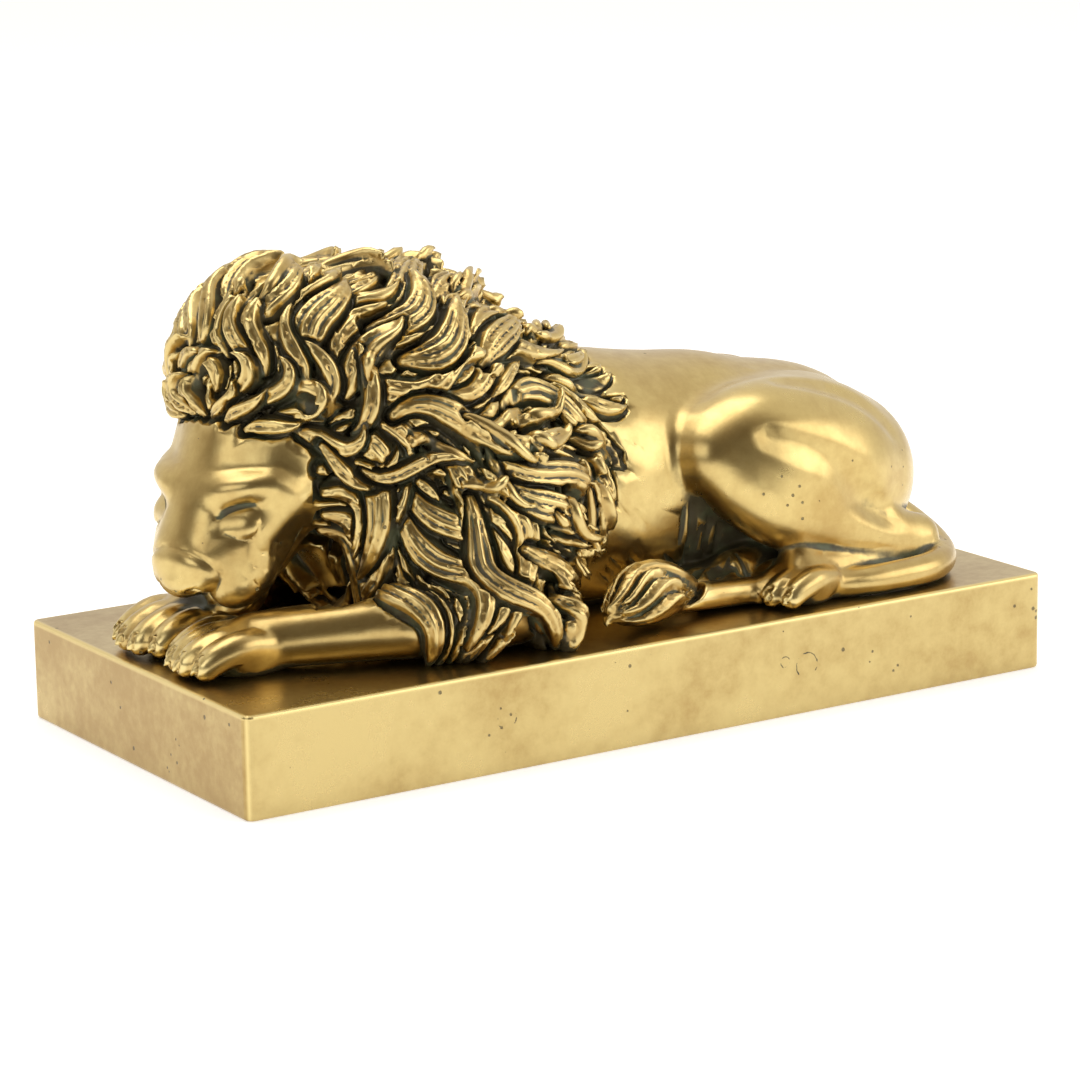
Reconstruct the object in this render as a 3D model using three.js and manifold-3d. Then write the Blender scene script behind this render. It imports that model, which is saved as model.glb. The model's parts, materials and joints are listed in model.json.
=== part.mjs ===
// A sleeping lion in gilt bronze on a plain rectangular plinth, a desk ornament in two castings.
// The lion lies along -X to +X with its head at -X, its chin on its forearms and its tail round its left side.
// Millimetres, +Z up. The origin is the middle of the plinth's underside.

import * as THREE from "three";
import { mergeVertices } from "three/addons/utils/BufferGeometryUtils.js";
import Module from "manifold-3d";

const wasm = await Module();
wasm.setup();

// Driving dimensions
const lionLength = 240; // from the toes of the forepaws to the rump
const plinthHeight = 28;
const plinthWidth = 124;
const marginAtPaws = 4; // plinth top left free in front of the toes
const marginAtRump = 16; // and behind the rump
const cornerRadius = 2.4; // upright corners of the plinth
const edgeRadius = 0.9; // worn top and bottom edges of the plinth

// Derived sizes
const plinthLength = marginAtPaws + lionLength + marginAtRump;
const lionMiddle = (marginAtPaws - marginAtRump) / 2;

// The figure is laid out in shares: hundredths of the lion's length from its middle, up from the plinth's top.
const share = lionLength / 100;
const at = (x, y, z) => new THREE.Vector3(lionMiddle + x * share, y * share, plinthHeight + z * share);
const along = (x, y, z) => new THREE.Vector3(x, y, z).normalize();
const up = along(0, 0, 1);

// Joining and cutting of closed meshes

function solidOf(geometry) {
  const bare = geometry.index ? geometry.toNonIndexed() : geometry.clone();
  bare.deleteAttribute("normal");
  bare.deleteAttribute("uv");
  const merged = mergeVertices(bare, 1e-4);
  return new wasm.Manifold(new wasm.Mesh({
    numProp: 3,
    vertProperties: merged.attributes.position.array,
    triVerts: new Uint32Array(merged.index.array),
  }));
}

function geometryOf(solid) {
  const mesh = solid.getMesh();
  const positions = new Float32Array(mesh.numVert * 3);
  for (let i = 0; i < mesh.numVert; i++) {
    positions.set(mesh.vertProperties.subarray(i * mesh.numProp, i * mesh.numProp + 3), i * 3);
  }
  const geometry = new THREE.BufferGeometry();
  geometry.setAttribute("position", new THREE.BufferAttribute(positions, 3));
  geometry.setIndex(new THREE.BufferAttribute(mesh.triVerts, 1));
  geometry.computeVertexNormals();
  return geometry;
}

const fuse = (solids) => solids.reduce((whole, next) => whole.add(next));

// The outer skin of a casting alone: pockets enclosed between overlapping masses are metal too.
const outerSkin = (solid) => solid.decompose().sort((a, b) => b.volume() - a.volume())[0];

// Modelling tools

// An axes frame whose X runs along the given direction and whose Z leans as far up as it can.
function frameAlong(direction) {
  const side = up.clone().cross(direction).normalize();
  const top = direction.clone().cross(side).normalize();
  return new THREE.Matrix4().makeBasis(direction, side, top);
}

// An ellipsoid mass of flesh: centre in the part's frame, radii in shares, turned by a frame.
function mass(centre, radii, frame = new THREE.Matrix4()) {
  return { centre, radii: radii.map((r) => r * share), frame, back: frame.clone().transpose() };
}

function ball(shape, around = 12, high = 8) {
  const geometry = new THREE.SphereGeometry(1, around, high);
  geometry.rotateX(Math.PI / 2);
  geometry.scale(...shape.radii);
  geometry.applyMatrix4(shape.frame);
  geometry.translate(shape.centre.x, shape.centre.y, shape.centre.z);
  return solidOf(geometry);
}

// A distance to an ellipsoid's skin, negative inside, good near the skin.
function depthIn(shape, point) {
  const p = point.clone().sub(shape.centre).applyMatrix4(shape.back);
  const [a, b, c] = shape.radii;
  const near = Math.hypot(p.x / a, p.y / b, p.z / c);
  const steep = Math.hypot(p.x / a ** 2, p.y / b ** 2, p.z / c ** 2);
  return steep < 1e-9 ? -Math.min(a, b, c) : (near * (near - 1)) / steep;
}

// A round limb through stations of [x, y, z, radius] in shares, with round ends.
function limb(stations, around = 9, steps = 5, flatness = 1) {
  const path = new THREE.CatmullRomCurve3(stations.map(([x, y, z]) => at(x, y, z)));
  const sizes = new THREE.CatmullRomCurve3(stations.map(([, , , r], i) => new THREE.Vector3(i, r * share, 0)));
  const geometry = new THREE.CapsuleGeometry(1, 2, 2, around, steps);
  const position = geometry.attributes.position;
  for (let i = 0; i < position.count; i++) {
    const v = new THREE.Vector3().fromBufferAttribute(position, i);
    const t = THREE.MathUtils.clamp((v.y + 1) / 2, 0, 1);
    const beyond = v.y - THREE.MathUtils.clamp(v.y, -1, 1);
    const radius = sizes.getPoint(t).y;
    const tangent = path.getTangent(t);
    const side = tangent.clone().cross(up).normalize();
    const top = side.clone().cross(tangent);
    const moved = path.getPoint(t)
      .addScaledVector(tangent, beyond * radius)
      .addScaledVector(side, v.x * radius)
      .addScaledVector(top, v.z * radius * flatness);
    position.setXYZ(i, moved.x, moved.y, moved.z);
  }
  return solidOf(geometry);
}

// Head: its own frame points from the skull to the nose, bowed down and turned a little to the left side.

const headBow = THREE.MathUtils.degToRad(47);
const headTurn = THREE.MathUtils.degToRad(16);
const skullCentre = at(-32.6, 1.2, 25.4);
const faceDirection = along(
  -Math.cos(headBow) * Math.cos(headTurn),
  -Math.cos(headBow) * Math.sin(headTurn),
  -Math.sin(headBow),
);
const headFrame = frameAlong(faceDirection);

// A place in the head: forward to the nose, to the lion's left, and to its crown, in shares.
function inHead(forward, left, crown) {
  return new THREE.Vector3(forward, left, crown).multiplyScalar(share).applyMatrix4(headFrame).add(skullCentre);
}

function headMass(forward, left, crown, radii) {
  return mass(inHead(forward, left, crown), radii, headFrame);
}

const bothSides = (make) => [make(1), make(-1)];

// A straight roll in the head between two stations of forward, left, crown and radius.
function headRoll(from, to) {
  const [start, end] = [from, to].map(([forward, left, crown]) => inHead(forward, left, crown));
  const axis = end.clone().sub(start);
  const length = axis.length() / share;
  const [big, small] = [from[3], to[3]];
  const profile = [[0, -big], [big, 0], [small, length], [0, length + small]];
  const geometry = new THREE.LatheGeometry(profile.map(([r, y]) => new THREE.Vector2(r * share, y * share)), 7);
  geometry.applyQuaternion(new THREE.Quaternion().setFromUnitVectors(along(0, 1, 0), axis.normalize()));
  geometry.translate(start.x, start.y, start.z);
  return solidOf(geometry);
}

const skull = headMass(0, 0, 0, [10.8, 9.6, 8.8]);

function makeHead() {
  return fuse([
    ball(skull, 12, 8),
    ball(headMass(7.5, 0, 2.1, [8.3, 6.7, 4.2]), 10, 6),
    ball(headMass(11.2, 0, -7.1, [7.5, 5.2, 3.8]), 8, 6),
    ball(headMass(18.1, 0, -7.8, [3.3, 3.9, 2.9]), 8, 5),
    ball(headMass(20.8, 0, -0.3, [1.8, 3.8, 1.8]), 8, 5),
    ...bothSides((s) => ball(headMass(4.6, s * 6.2, -2.1, [7.1, 4.3, 6.5]), 10, 6)),
    ...bothSides((s) => headRoll([5.8, s * 2.3, 3.6, 3.2], [19.6, s * 2.1, 0.4, 2.4])),
    ...bothSides((s) => ball(headMass(16.4, s * 3.7, -3.4, [5.6, 3.7, 4]), 8, 6)),
    ...bothSides((s) => ball(headMass(10.4, s * 5.2, 1.8, [3, 2.3, 2]), 7, 5)),
    ...bothSides((s) => headRoll([12.4, s * 3.5, 4.3, 1.2], [6, s * 7.8, 4.5, 1.8])),
  ]);
}

// Body, lying on its belly with the hindquarters rolled a little to the left

const ribs = mass(at(5, 0, 13.6), [21, 14.6, 15.6]);
const loins = mass(at(22, 0.6, 12.4), [17, 13.2, 14.4]);

function makeTrunk() {
  return fuse([
    ball(ribs, 13, 8),
    ball(loins, 13, 8),
    ball(mass(at(36.5, 1.2, 11), [13.5, 13.6, 12.6]), 14, 9),
    ball(mass(at(-14, 0, 12), [15, 16, 14])),
    ball(mass(at(1, 0, 0.8), [37, 16.6, 4.8]), 12, 8),
  ]);
}

// Hind legs: the left is folded with its knee up, and the right foot lies across under the belly

function makeHindLegs() {
  return fuse([
    limb([[18, -12.6, 17.4, 5.6], [24, -12.6, 16.8, 8.2], [32, -10.5, 14, 10.4], [38, -8, 11.6, 10.4]], 11, 4),
    limb([[17, -14.2, 17, 4.4], [22, -15.8, 12.8, 5], [31, -17, 8.4, 4.2], [44, -16.8, 4.4, 2.7]]),
    limb([[44.8, -16.8, 4, 2.7], [34, -18.6, 3, 2.5], [26, -19, 3.4, 3]], 8, 4),
    limb([[19, 13.6, 14, 6], [28, 11.6, 14, 9.4], [37, 7, 11.6, 10]], 10, 4),
    limb([[20, 15, 8, 5], [30, 16.6, 6, 5], [41, 15, 4, 3.6]], 8, 4),
    limb([[33, -10, 3, 3], [20, -13.6, 2.6, 3]], 8, 3),
    ...paw(at(24.2, -19.6, 0), along(-1, -0.14, 0), 0.94),
    ...paw(at(16, -13.6, 0), along(-1, -0.32, 0), 0.84),
  ]);
}

// A paw: a pad and four toes side by side, from the middle of its sole, heading where the toes point
function paw(sole, heading, size) {
  const frame = frameAlong(heading);
  const toeSpread = [-1.5, -0.5, 0.5, 1.5];
  const place = (forward, left, high) =>
    new THREE.Vector3(forward, left, high).multiplyScalar(share * size).applyMatrix4(frame).add(sole);
  const toes = toeSpread.map((step) => {
    const reach = 2.6 - 0.42 * step * step;
    return ball(mass(place(reach, step * 2.3, 1.9), [2.9, 1.36, 2.3].map((r) => r * size), frame), 5, 4);
  });
  return [ball(mass(place(-1.4, 0, 1.8), [4.4, 4.5, 2.9].map((r) => r * size), frame), 9, 5), ...toes];
}

// Forelegs: the elbows stand wide, the forearms run in under the chin and the paws lie side by side

function makeForelegs() {
  return fuse([
    ball(mass(at(-11.5, -11.8, 11.6), [10, 7.6, 11.8])),
    ball(mass(at(-11.5, 11.8, 11.6), [10, 7.6, 11.8])),
    limb([[-11, -17.2, 5.4, 5.2], [-20, -17.6, 4.8, 4.6], [-31, -14.2, 4, 3.6], [-41, -9.6, 3.3, 3.2]]),
    limb([[-11, 17.2, 5.4, 5.2], [-20, 16.6, 4.8, 4.6], [-31, 11.6, 4, 3.6], [-41, 5.8, 3.3, 3.2]]),
    ...paw(at(-44.4, -8.2, 0), along(-1, 0.12, 0), 1.12),
    ...paw(at(-44.4, 4.2, 0), along(-1, -0.06, 0), 1.12),
  ]);
}

// Tail: from the rump round the left hock and forward along the foot, with a tuft of hair beyond the toes

const tuftRoot = at(11.4, -18, 2.6);
const tuftTip = at(-3.4, -21.6, 2.2);
const tuft = mass(tuftRoot.clone().lerp(tuftTip, 0.5).add(new THREE.Vector3(0, 0, 1.1 * share)), [6.9, 3.2, 3.4],
  frameAlong(tuftTip.clone().sub(tuftRoot).normalize()));

function makeTail() {
  return fuse([
    limb([[46, 2, 8, 3], [49, -8, 4.6, 2.3], [48.6, -16, 2.3, 1.95], [43.6, -21.4, 1.9, 1.85],
      [36, -22.4, 1.8, 1.75], [29, -21, 1.7, 1.7], [20, -18, 1.7, 1.6], [9, -18.6, 2.4, 1.7]], 6, 17),
    ball(tuft, 8, 8),
  ]);
}

// Mane: a thick mass of hair over neck and shoulders, combed into rows of waving locks

const maneMasses = [
  mass(at(-19.5, 0.4, 24.6), [18.4, 17.2, 17]),
  mass(at(-14, -11, 14), [14.5, 9, 13.4]),
  mass(at(-14, 11, 14), [14.5, 9, 13.4]),
  mass(at(-5, 0, 20.8), [13, 13.6, 13.2]),
  headMass(-5.4, 0, 2.3, [11.4, 13, 11]),
];
const faceMiddle = inHead(11, 0, 0); // the hair runs away from here on every side

const maneDepth = (point) => Math.min(...maneMasses.map((shape) => depthIn(shape, point)));

function outwardAt(point) {
  const reach = 0.3;
  const slope = (axis) => maneDepth(point.clone().addScaledVector(axis, reach))
    - maneDepth(point.clone().addScaledVector(axis, -reach));
  return along(slope(along(1, 0, 0)), slope(along(0, 1, 0)), slope(up));
}

// The way the hair is combed: away from the face, and drooping on the flanks.
function combedAt(point, outward) {
  const height = (point.z - plinthHeight) / share;
  const droop = THREE.MathUtils.clamp(2.1 - height / 15, 0, 2);
  const flow = point.clone().sub(faceMiddle).normalize().addScaledVector(up, -droop);
  return flow.addScaledVector(outward, -flow.dot(outward)).normalize();
}

function toSkin(point) {
  for (let i = 0; i < 4; i++) point.addScaledVector(outwardAt(point), -maneDepth(point));
  return point;
}

// A lock's line over the mane: it sways from side to side and its tip lifts away.
function lockLine(root, length, sway, phase) {
  const steps = 9;
  const point = toSkin(root.clone());
  const line = [];
  for (let i = 0; i <= steps; i++) {
    const t = i / steps;
    const outward = outwardAt(point);
    const flow = combedAt(point, outward);
    const sideways = outward.clone().cross(flow);
    const turn = sway * Math.sin(phase + t * 2 * Math.PI);
    const lift = (0.3 + 0.8 * t * t) * share;
    line.push({ place: point.clone().addScaledVector(outward, lift), outward, t });
    const heading = flow.multiplyScalar(Math.cos(turn)).addScaledVector(sideways, Math.sin(turn));
    toSkin(point.addScaledVector(heading, (length * share) / steps));
  }
  return line;
}

// A lock's solid: a spindle bent along its line, wider than it is thick.
function lock(line, width, thickness) {
  const path = new THREE.CatmullRomCurve3(line.map((step) => step.place));
  const spindle = [[0, 0], [0.9, 0.16], [1, 0.36], [0.9, 0.58], [0.6, 0.8], [0, 1]];
  const geometry = new THREE.LatheGeometry(spindle.map(([r, y]) => new THREE.Vector2(r, y)), 4);
  const position = geometry.attributes.position;
  for (let i = 0; i < position.count; i++) {
    const v = new THREE.Vector3().fromBufferAttribute(position, i);
    const tangent = path.getTangent(v.y);
    const outward = line[Math.round(v.y * (line.length - 1))].outward;
    const side = tangent.clone().cross(outward).normalize();
    const top = side.clone().cross(tangent);
    const moved = path.getPoint(v.y)
      .addScaledVector(side, v.x * width * share)
      .addScaledVector(top, v.z * thickness * share);
    position.setXYZ(i, moved.x, moved.y, moved.z);
  }
  return solidOf(geometry);
}

// Rings of locks from the hairline back to the withers. Each ring has a middle, the angle that it is bowed
// down by, the number of its locks, and their length on top and on the sides.
const lockRings = [
  { middle: [-34.6, 1, 23.6], bow: 47, count: 12, top: 9, side: 13 },
  { middle: [-29.4, 0.9, 25.4], bow: 36, count: 12, top: 12, side: 19 },
  { middle: [-23.5, 0.6, 24.4], bow: 22, count: 12, top: 15, side: 23 },
  { middle: [-16, 0.2, 22.4], bow: 8, count: 10, top: 16, side: 23 },
  { middle: [-8.5, 0, 20.5], bow: -4, count: 9, top: 14, side: 18 },
];

// A root on the mane's skin, straight out from the middle of its ring.
function rootOf(ring, round) {
  const bow = THREE.MathUtils.degToRad(ring.bow);
  const frame = frameAlong(along(-Math.cos(bow), -0.2 * Math.cos(bow), -Math.sin(bow)));
  const outwards = new THREE.Vector3(0, Math.sin(round), Math.cos(round)).applyMatrix4(frame);
  const point = at(...ring.middle);
  for (let i = 0; i < 24; i++) point.addScaledVector(outwards, -maneDepth(point));
  return point;
}

function makeLocks() {
  const locks = [];
  lockRings.forEach((ring, ringNumber) => {
    for (let i = 0; i < ring.count; i++) {
      const half = ringNumber % 2 ? 0.5 : 0;
      const round = ((i + half) / ring.count) * 2 * Math.PI;
      const root = rootOf(ring, round);
      const buried = Math.min(depthIn(ribs, root), depthIn(skull, root)) < -1.5 * share;
      if (root.z < plinthHeight + 4 * share || buried) continue;
      const side = Math.sin(round) < 0 ? -1 : 1;
      const length = ring.top + (ring.side - ring.top) * Math.sin(round / 2) ** 2;
      const line = lockLine(root, length, 0.6 * side, i * 2.1 + ringNumber);
      locks.push(lock(line, 2.4, 1.9));
    }
  });
  return fuse(locks);
}

const makeMane = () => fuse([...maneMasses.map((shape) => ball(shape, 10, 7)), makeLocks()]);

// The lion is one casting, filed flat underneath where it lies on the plinth.
function makeLion() {
  const whole = fuse([makeTrunk(), makeHindLegs(), makeForelegs(), makeTail(), makeHead(), makeMane()]);
  const below = new THREE.BoxGeometry(2 * plinthLength, 2 * plinthWidth, plinthHeight * 2);
  return outerSkin(whole.subtract(solidOf(below)));
}

// The plinth is a plain cast block with softened corners and edges.
function makePlinth() {
  const halfLength = plinthLength / 2 - edgeRadius;
  const halfWidth = plinthWidth / 2 - edgeRadius;
  const radius = cornerRadius - edgeRadius;
  const outline = new THREE.Shape();
  outline.absarc(halfLength - radius, halfWidth - radius, radius, 0, Math.PI / 2);
  outline.absarc(radius - halfLength, halfWidth - radius, radius, Math.PI / 2, Math.PI);
  outline.absarc(radius - halfLength, radius - halfWidth, radius, Math.PI, 1.5 * Math.PI);
  outline.absarc(halfLength - radius, radius - halfWidth, radius, 1.5 * Math.PI, 2 * Math.PI);
  const geometry = new THREE.ExtrudeGeometry(outline, {
    depth: plinthHeight - 2 * edgeRadius,
    bevelThickness: edgeRadius,
    bevelSize: edgeRadius,
    bevelSegments: 2,
    curveSegments: 3,
  });
  geometry.translate(0, 0, edgeRadius);
  return solidOf(geometry);
}

const gilding = new THREE.MeshStandardMaterial({ color: 0xc39a4e, metalness: 1, roughness: 0.3 });
const plinthGilding = new THREE.MeshStandardMaterial({ color: 0xcaa75e, metalness: 1, roughness: 0.38 });

const lion = new THREE.Mesh(geometryOf(makeLion()), gilding);
lion.name = "lion";
const plinth = new THREE.Mesh(geometryOf(makePlinth()), plinthGilding);
plinth.name = "plinth";

const figure = new THREE.Group();
figure.add(plinth, lion);

export default figure;
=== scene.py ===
# A sleeping lion on a plain plinth, two castings in gilt bronze, each dressed here round its CAD solid.
# The lion's head is at -X and its left side, where the tail lies, at -Y.
import json
import math

import bpy
import numpy as np
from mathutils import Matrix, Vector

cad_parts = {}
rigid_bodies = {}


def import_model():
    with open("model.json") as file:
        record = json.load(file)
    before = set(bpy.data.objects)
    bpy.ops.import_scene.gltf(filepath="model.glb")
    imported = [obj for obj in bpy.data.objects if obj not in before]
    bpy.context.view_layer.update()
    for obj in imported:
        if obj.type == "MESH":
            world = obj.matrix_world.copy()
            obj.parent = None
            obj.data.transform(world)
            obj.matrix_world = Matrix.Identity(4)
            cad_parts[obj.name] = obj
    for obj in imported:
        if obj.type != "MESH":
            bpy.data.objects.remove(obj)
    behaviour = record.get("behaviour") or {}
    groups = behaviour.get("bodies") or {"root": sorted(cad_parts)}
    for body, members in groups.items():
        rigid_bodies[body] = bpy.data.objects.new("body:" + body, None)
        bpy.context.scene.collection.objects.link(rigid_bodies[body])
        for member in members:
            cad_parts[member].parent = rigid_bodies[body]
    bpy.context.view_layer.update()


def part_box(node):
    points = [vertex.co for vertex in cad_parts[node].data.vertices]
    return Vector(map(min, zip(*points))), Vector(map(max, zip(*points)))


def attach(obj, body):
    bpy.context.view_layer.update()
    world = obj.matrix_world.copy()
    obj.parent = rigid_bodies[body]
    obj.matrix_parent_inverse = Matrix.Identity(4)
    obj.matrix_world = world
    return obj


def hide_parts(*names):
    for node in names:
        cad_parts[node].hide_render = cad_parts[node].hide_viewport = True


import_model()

import openvdb
from mathutils import Matrix, Vector

bpy.ops.object.select_all(action="DESELECT")

# Plinth: a plain rectangular casting in gilt bronze, filed flat, with worn edges that carry a painted
# highlight, and with a top and short ends painted darker as a reflection.
# Its long sides keep small casting pits and the faint round outlines of two plugs that fill core holes.
plinth_low, plinth_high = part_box("plinth")
plinth_size = plinth_high - plinth_low
plinth_top = plinth_high.z
edge_wear = 0.0009
corner_wear = 0.0024


def apply_modifier(piece, kind, **settings):
    bpy.context.view_layer.objects.active = piece
    piece.select_set(True)
    made = piece.modifiers.new(kind, kind)
    for name, value in settings.items():
        setattr(made, name, value)
    bpy.ops.object.modifier_apply(modifier=made.name)
    piece.select_set(False)


bpy.ops.mesh.primitive_cube_add(size=1, location=(plinth_low + plinth_high) / 2)
plinth = bpy.context.active_object
plinth.name = "plinth_casting"
plinth.scale = plinth_size
bpy.ops.object.transform_apply(location=True, rotation=True, scale=True)
plinth.select_set(False)
upright = plinth.data.attributes.new("bevel_weight_edge", "FLOAT", "EDGE")
for edge in plinth.data.edges:
    a, b = (plinth.data.vertices[i].co for i in edge.vertices)
    upright.data[edge.index].value = 1 if abs(a.z - b.z) > 0.001 else 0
apply_modifier(plinth, "BEVEL", width=corner_wear, segments=5, limit_method="WEIGHT")
apply_modifier(plinth, "BEVEL", width=edge_wear, segments=3, limit_method="ANGLE",
               angle_limit=math.radians(50))


def node(tree, kind, **settings):
    made = tree.nodes.new("ShaderNode" + kind)
    for name, value in settings.items():
        setattr(made, name, value)
    return made


def feed(tree, made, **values):
    """Sets a node's sockets by name, to a value or from another node's socket."""
    for name, value in values.items():
        socket = made.inputs[name.replace("_", " ")]
        if isinstance(value, bpy.types.NodeSocket):
            tree.links.new(value, socket)
        else:
            socket.default_value = value
    return made


def reckon(tree, operation, *values, clamp=False):
    made = node(tree, "Math", operation=operation, use_clamp=clamp)
    for socket, value in zip(made.inputs, values):
        if isinstance(value, bpy.types.NodeSocket):
            tree.links.new(value, socket)
        else:
            socket.default_value = value
    return made.outputs[0]


def graded(tree, value, low, high, start=0.0, end=1.0):
    """Turns low to high into start to end, smoothly."""
    made = node(tree, "MapRange", interpolation_type="SMOOTHSTEP")
    feed(tree, made, Value=value, From_Min=low, From_Max=high, To_Min=start, To_Max=end)
    return made.outputs["Result"]


def blended(tree, factor, first, second):
    made = node(tree, "Mix", data_type="RGBA")
    for socket, value in zip((made.inputs[0], made.inputs[6], made.inputs[7]), (factor, first, second)):
        if isinstance(value, bpy.types.NodeSocket):
            tree.links.new(value, socket)
        else:
            socket.default_value = value
    return made.outputs[2]


def cloud(tree, coordinates, scale, detail=3.0, roughness=0.55):
    made = node(tree, "TexNoise")
    feed(tree, made, Vector=coordinates, Scale=scale, Detail=detail, Roughness=roughness)
    return made.outputs["Fac"]


# The finish of both castings: gilding rubbed thin over brown bronze, green-black patina, and casting pits.
# Its inputs carry painted light too: a painted highlight with the rubbed gilding, painted shade with the
# patina on the figure, and painted dark faces and shade with the browned gilding
bronze = bpy.data.node_groups.new("gilt_bronze_skin", "ShaderNodeTree")
for name, kind in (("Hollow", "Float"), ("Rubbed", "Float"), ("Tarnish", "Float"), ("Pitting", "Float"),
                   ("Gilding", "Color"), ("Worn Gilding", "Color"), ("Rubbed Gilding", "Color")):
    bronze.interface.new_socket(name, in_out="INPUT", socket_type="NodeSocket" + kind)
for name, kind in (("Color", "Color"), ("Metallic", "Float"), ("Roughness", "Float"), ("Height", "Float")):
    bronze.interface.new_socket(name, in_out="OUTPUT", socket_type="NodeSocket" + kind)
given = bronze.nodes.new("NodeGroupInput").outputs
put_out = bronze.nodes.new("NodeGroupOutput")
spots = node(bronze, "TexCoord").outputs["Object"]
broad_cloud = cloud(bronze, spots, 28, 2)
mottle = cloud(bronze, spots, 230, 3, 0.65)
grain = cloud(bronze, spots, 1500, 1)
unevenness = reckon(bronze, "SUBTRACT", mottle, 0.5)
mottled = reckon(bronze, "ADD", broad_cloud, reckon(bronze, "MULTIPLY", unevenness, 0.55))
# Browning: tone that varies at random, and from the Tarnish input painted dark faces on the plinth and
# painted shade low on the figure
browned_and_painted_dark = reckon(bronze, "ADD", mottled, reckon(bronze, "MULTIPLY", given["Tarnish"], 0.26))
tarnish_and_painted_dark = graded(bronze, browned_and_painted_dark, 0.36, 1.05)
# Patina gathers where Hollow is high; on the figure this also paints shade into the deep hollows, the groin
# and the foot of the casting
dirt_and_shade = reckon(bronze, "ADD", given["Hollow"], reckon(bronze, "MULTIPLY", unevenness, 0.5))
patina_and_shade = graded(bronze, dirt_and_shade, 0.25, 0.85)
pit_cells = feed(bronze, node(bronze, "TexVoronoi"), Vector=spots, Scale=250, Randomness=1)
pitted_here = graded(bronze, cloud(bronze, spots, 70, 1), 0.50, 0.72)
pit_size = reckon(bronze, "MULTIPLY", pitted_here, given["Pitting"])
pit_reach = reckon(bronze, "MULTIPLY", pit_size, 0.16)
pit = graded(bronze, reckon(bronze, "SUBTRACT", pit_reach, pit_cells.outputs["Distance"]), -0.02, 0.03)
soiled_and_shaded = reckon(bronze, "MAXIMUM", patina_and_shade, reckon(bronze, "MULTIPLY", pit, 0.7))
gilding = blended(bronze, tarnish_and_painted_dark, given["Gilding"], given["Worn Gilding"])
# Rubbed gilding: worn bright on the edges and crests, and a painted highlight there
gilding = blended(bronze, given["Rubbed"], gilding, given["Rubbed Gilding"])
patina_cloud = graded(bronze, cloud(bronze, spots, 120, 2), 0.45, 0.65)
verdigris_and_shade = blended(bronze, patina_cloud, (0.088, 0.076, 0.040, 1), (0.118, 0.127, 0.068, 1))
metal_shown = reckon(bronze, "SUBTRACT", 1, reckon(bronze, "MULTIPLY", soiled_and_shaded, 0.55))
polish = reckon(bronze, "ADD", 0.23, reckon(bronze, "MULTIPLY", mottled, 0.13))
roughness = reckon(bronze, "ADD", polish, reckon(bronze, "MULTIPLY", soiled_and_shaded, 0.3))
grainy = reckon(bronze, "MULTIPLY", grain, 0.05)
relief = reckon(bronze, "ADD", reckon(bronze, "MULTIPLY", mottle, 0.12), grainy)
feed(bronze, put_out, Color=blended(bronze, soiled_and_shaded, gilding, verdigris_and_shade), Metallic=metal_shown,
     Roughness=roughness, Height=reckon(bronze, "SUBTRACT", relief, pit))


def gilt_bronze(name, hollow, rubbed_and_highlight, tarnish_and_painted_dark, pitting, gilding, worn_and_painted_dark, rubbed_and_highlight_gilding):
    """A material of the bronze skin; hollow and rubbed, which also carry painted shade and a painted
    highlight, are made from its own node tree.
    """
    material = bpy.data.materials.new(name)
    material.use_nodes = True
    tree = material.node_tree
    skin = node(tree, "Group", node_tree=bronze)
    feed(tree, skin, Hollow=hollow(tree), Rubbed=rubbed_and_highlight(tree), Tarnish=tarnish_and_painted_dark(tree), Pitting=pitting,
         Gilding=gilding, Worn_Gilding=worn_and_painted_dark, Rubbed_Gilding=rubbed_and_highlight_gilding)
    bump = feed(tree, node(tree, "Bump"), Strength=0.7, Distance=0.0003, Height=skin.outputs["Height"])
    feed(tree, tree.nodes["Principled BSDF"], Base_Color=skin.outputs["Color"],
         Metallic=skin.outputs["Metallic"], Roughness=skin.outputs["Roughness"],
         Normal=bump.outputs["Normal"], Coat_Weight=0.3, Coat_Roughness=0.25)
    return material


def plinth_edge_wear_and_highlight(tree):
    """1 on the plinth's worn edges, where a highlight is painted as well, fading to 0 a little way in."""
    place = feed(tree, node(tree, "SeparateXYZ"), Vector=node(tree, "TexCoord").outputs["Object"])
    x = reckon(tree, "SUBTRACT", plinth_size.x / 2, reckon(tree, "ABSOLUTE", place.outputs["X"]))
    y = reckon(tree, "SUBTRACT", plinth_size.y / 2, reckon(tree, "ABSOLUTE", place.outputs["Y"]))
    z = reckon(tree, "SUBTRACT", plinth_top, place.outputs["Z"])
    ways_in = [reckon(tree, "MAXIMUM", a, b) for a, b in ((x, y), (y, z), (x, z))]
    nearest = reckon(tree, "MINIMUM", reckon(tree, "MINIMUM", ways_in[0], ways_in[1]), ways_in[2])
    return graded(tree, nearest, 0.0016, 0.0004)


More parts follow.
